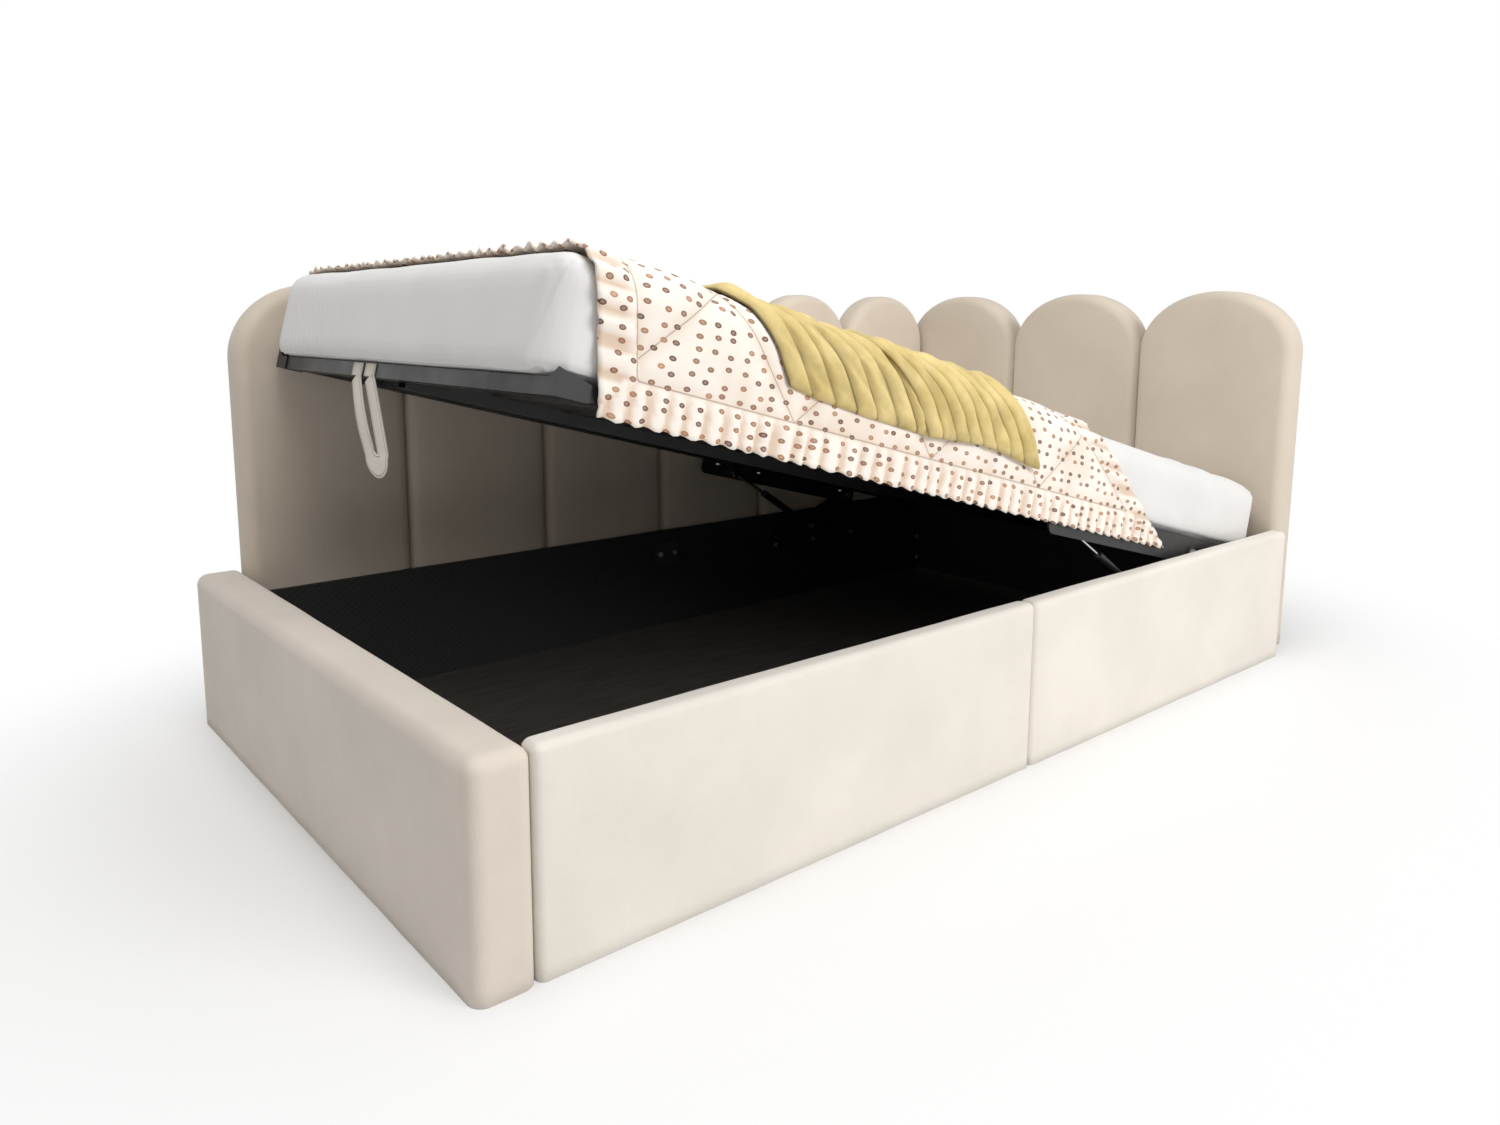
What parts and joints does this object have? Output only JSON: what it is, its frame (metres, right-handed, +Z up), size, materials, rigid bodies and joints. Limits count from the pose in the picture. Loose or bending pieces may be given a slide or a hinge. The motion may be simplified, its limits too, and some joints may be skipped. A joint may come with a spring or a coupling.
{
  "type": "storage bed",
  "caption": "Child's storage bed with scalloped padded boards; its slatted platform and bedding lift on gas struts over a lined box.",
  "frame": {"origin": "on the floor under the middle of the bed's bounding box", "axes": "+X to the head board, -Y to the open front rail, +Z up"},
  "size_m": [2.08, 1.118, 0.8499],
  "materials": {
    "board_wood": "matte",
    "foot_upholstery": "matte",
    "rail_upholstery": "matte",
    "panel_upholstery": "matte",
    "back_cloth": "matte",
    "liner_board": "matte",
    "floor_board": "matte",
    "black_plastic": "matte",
    "black_steel": "satin",
    "bright_steel": "satin",
    "slat_wood": "matte",
    "mattress_cloth": "matte",
    "sheet_cotton": "matte",
    "quilt_cotton": "matte",
    "throw_velvet": "matte",
    "webbing": "matte",
    "strut_paint": "satin",
    "rod_chrome": "polished"
  },
  "bodies": {
    "bed_frame": {"foot_board_core": "board_wood", "front_rail_core_a": "board_wood", "front_rail_core_b": "board_wood", "backboard_core": "board_wood", "headboard_core": "board_wood", "foot_board_cover": "foot_upholstery", "front_rail_cover_a": "rail_upholstery", "front_rail_cover_b": "rail_upholstery", "backboard_panel_1": "panel_upholstery", "backboard_panel_2": "panel_upholstery", "backboard_panel_3": "panel_upholstery", "backboard_panel_4": "panel_upholstery", "backboard_panel_5": "panel_upholstery", "backboard_panel_6": "panel_upholstery", "headboard_panel_1": "panel_upholstery", "headboard_panel_2": "panel_upholstery", "headboard_panel_3": "panel_upholstery", "backboard_back_cloth": "back_cloth", "headboard_back_cloth": "back_cloth", "liner_foot": "liner_board", "liner_head": "liner_board", "liner_front_a": "liner_board", "liner_front_b": "liner_board", "liner_back_a": "liner_board", "liner_back_b": "liner_board", "floor_panel_foot": "floor_board", "floor_panel_head": "floor_board", "headboard_glides": "black_plastic", "floor_battens": "board_wood", "floor_cross_beam": "board_wood", "corner_brackets": "black_steel", "liner_joint_plates": "black_plastic", "mount_screws": "bright_steel", "lift_base_plate_front": "black_steel", "lift_base_plate_back": "black_steel", "pivot_bolts": "bright_steel", "strut_lower_bolts": "bright_steel"},
    "platform": {"side_rail_front": "black_steel", "side_rail_back": "black_steel", "foot_bar": "black_steel", "head_bar": "black_steel", "centre_rail": "black_steel", "cross_bars": "black_steel", "slats": "slat_wood", "slat_caps": "black_plastic", "lift_arm_front": "black_steel", "lift_arm_back": "black_steel", "arm_bolts": "bright_steel", "mattress_stops": "black_steel", "mattress": "mattress_cloth", "fitted_sheet": "sheet_cotton", "quilt": "quilt_cotton", "throw_blanket": "throw_velvet", "strap_anchor": "webbing"},
    "strut_cylinder_front": {"strut_cylinder_front": "strut_paint"},
    "strut_rod_front": {"strut_rod_front": "rod_chrome"},
    "strut_cylinder_back": {"strut_cylinder_back": "strut_paint"},
    "strut_rod_back": {"strut_rod_back": "rod_chrome"},
    "pull_strap": {"pull_strap": "webbing"}
  },
  "joints": [
    {"name": "platform_lift", "type": "hinge", "parent": "bed_frame", "child": "platform", "pos_m": [0.6305, -0.016, 0.2778], "axis": [0, 1, 0], "range_deg": [-14.18, 20.8]},
    {"name": "strut_front_swing", "type": "hinge", "parent": "bed_frame", "child": "strut_cylinder_front", "pos_m": [0.4663, -0.489, 0.2131], "axis": [0, 1, 0], "range_deg": [-18.3, 26.8]},
    {"name": "strut_back_swing", "type": "hinge", "parent": "bed_frame", "child": "strut_cylinder_back", "pos_m": [0.4663, 0.457, 0.2131], "axis": [0, 1, 0], "range_deg": [-18.3, 26.8]},
    {"name": "rod_front_slide", "type": "slide", "parent": "strut_cylinder_front", "child": "strut_rod_front", "axis": [-0.8442, 0, 0.536], "range_m": [-0.0354, 0.0519]},
    {"name": "rod_back_slide", "type": "slide", "parent": "strut_cylinder_back", "child": "strut_rod_back", "axis": [-0.8442, 0, 0.536], "range_m": [-0.0354, 0.0519]},
    {"name": "strap_swing", "type": "hinge", "parent": "platform", "child": "pull_strap", "pos_m": [-0.89265, 0.062, 0.67198], "axis": [0, 1, 0], "range_deg": [-26, 8]}
  ],
  "couplings": [
    {"joint": "strut_front_swing", "follows": "platform_lift", "ratio": 1.288},
    {"joint": "rod_front_slide", "follows": "platform_lift", "m_per_rad": 0.1427},
    {"joint": "strut_back_swing", "follows": "platform_lift", "ratio": 1.288},
    {"joint": "rod_back_slide", "follows": "platform_lift", "m_per_rad": 0.1427}
  ]
}
